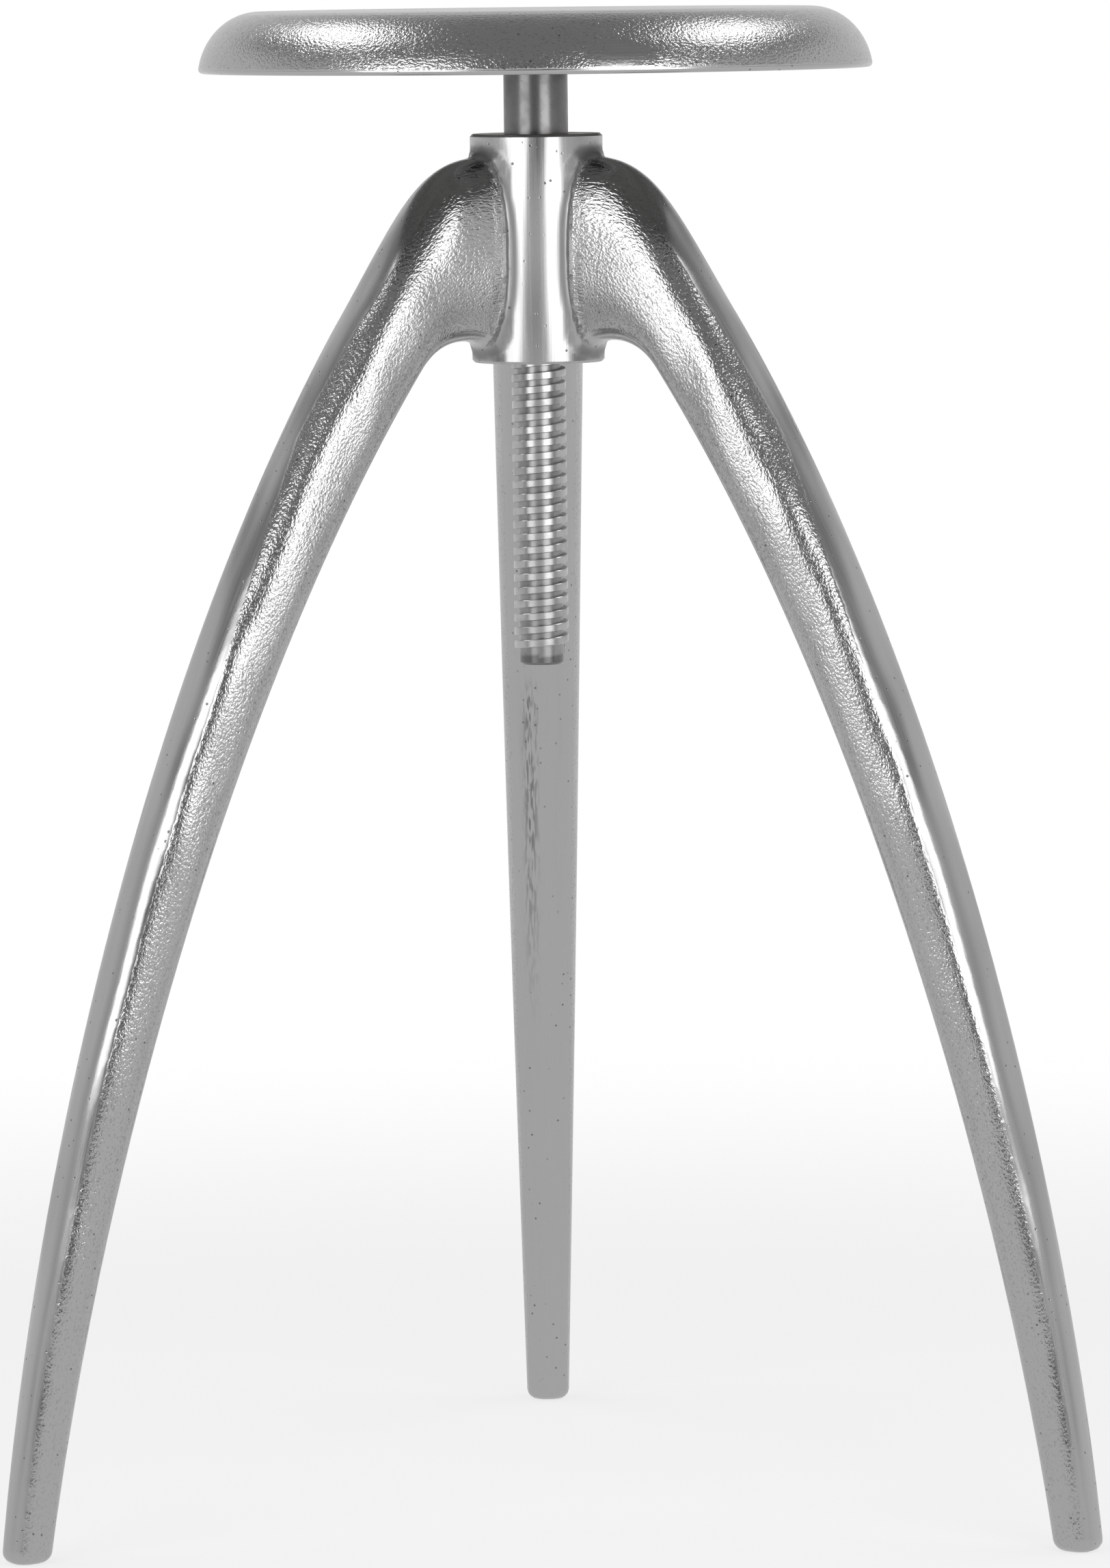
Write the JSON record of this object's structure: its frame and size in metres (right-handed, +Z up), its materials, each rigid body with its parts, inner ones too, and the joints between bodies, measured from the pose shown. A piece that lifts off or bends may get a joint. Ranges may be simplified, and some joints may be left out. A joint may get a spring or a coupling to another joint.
{
  "type": "screw stool",
  "caption": "Tall round cast-metal stool: the seat turns on a square-thread screw through a hub with curved cast legs.",
  "frame": {"origin": "middle of the outline on the floor, under the seat and legs", "axes": "+Z up along the spindle, -Y to the front between two legs, +X to the right; the spindle's axis is at X = 0, Y = -65.875 mm"},
  "size_m": [0.504, 0.4456, 0.705],
  "materials": {
    "cast_seat": "polished casting, fine cast pits on the rim",
    "cast_frame": "polished casting with a pitted sand-cast grain",
    "turned_steel": "turned, lightly oiled",
    "plated_steel": "zinc plated",
    "bronze": "machined",
    "buffer_rubber": "matt"
  },
  "bodies": {
    "base": {"hub": "cast_frame", "leg_left": "cast_frame", "leg_right": "cast_frame", "leg_back": "cast_frame", "thread_nut": "bronze", "guide_bush": "bronze"},
    "lift": {"buffer_ring": "buffer_rubber"},
    "seat_and_screw": {"seat": "cast_seat", "spindle": "turned_steel", "seat_flange": "turned_steel", "flange_screws": "plated_steel", "flange_washers": "plated_steel"}
  },
  "joints": [
    {"name": "screw_rise", "type": "slide", "parent": "base", "child": "lift", "axis": [0, 0, 1], "range_m": [-0.0306, 0.1251]},
    {"name": "seat_turn", "type": "hinge", "parent": "lift", "child": "seat_and_screw", "pos_m": [0, -0.06588, 0.6], "axis": [0, 0, 1], "range_deg": [-1760, 7200]}
  ],
  "couplings": [
    {"joint": "screw_rise", "follows": "seat_turn", "m_per_rad": 0.00099472}
  ]
}
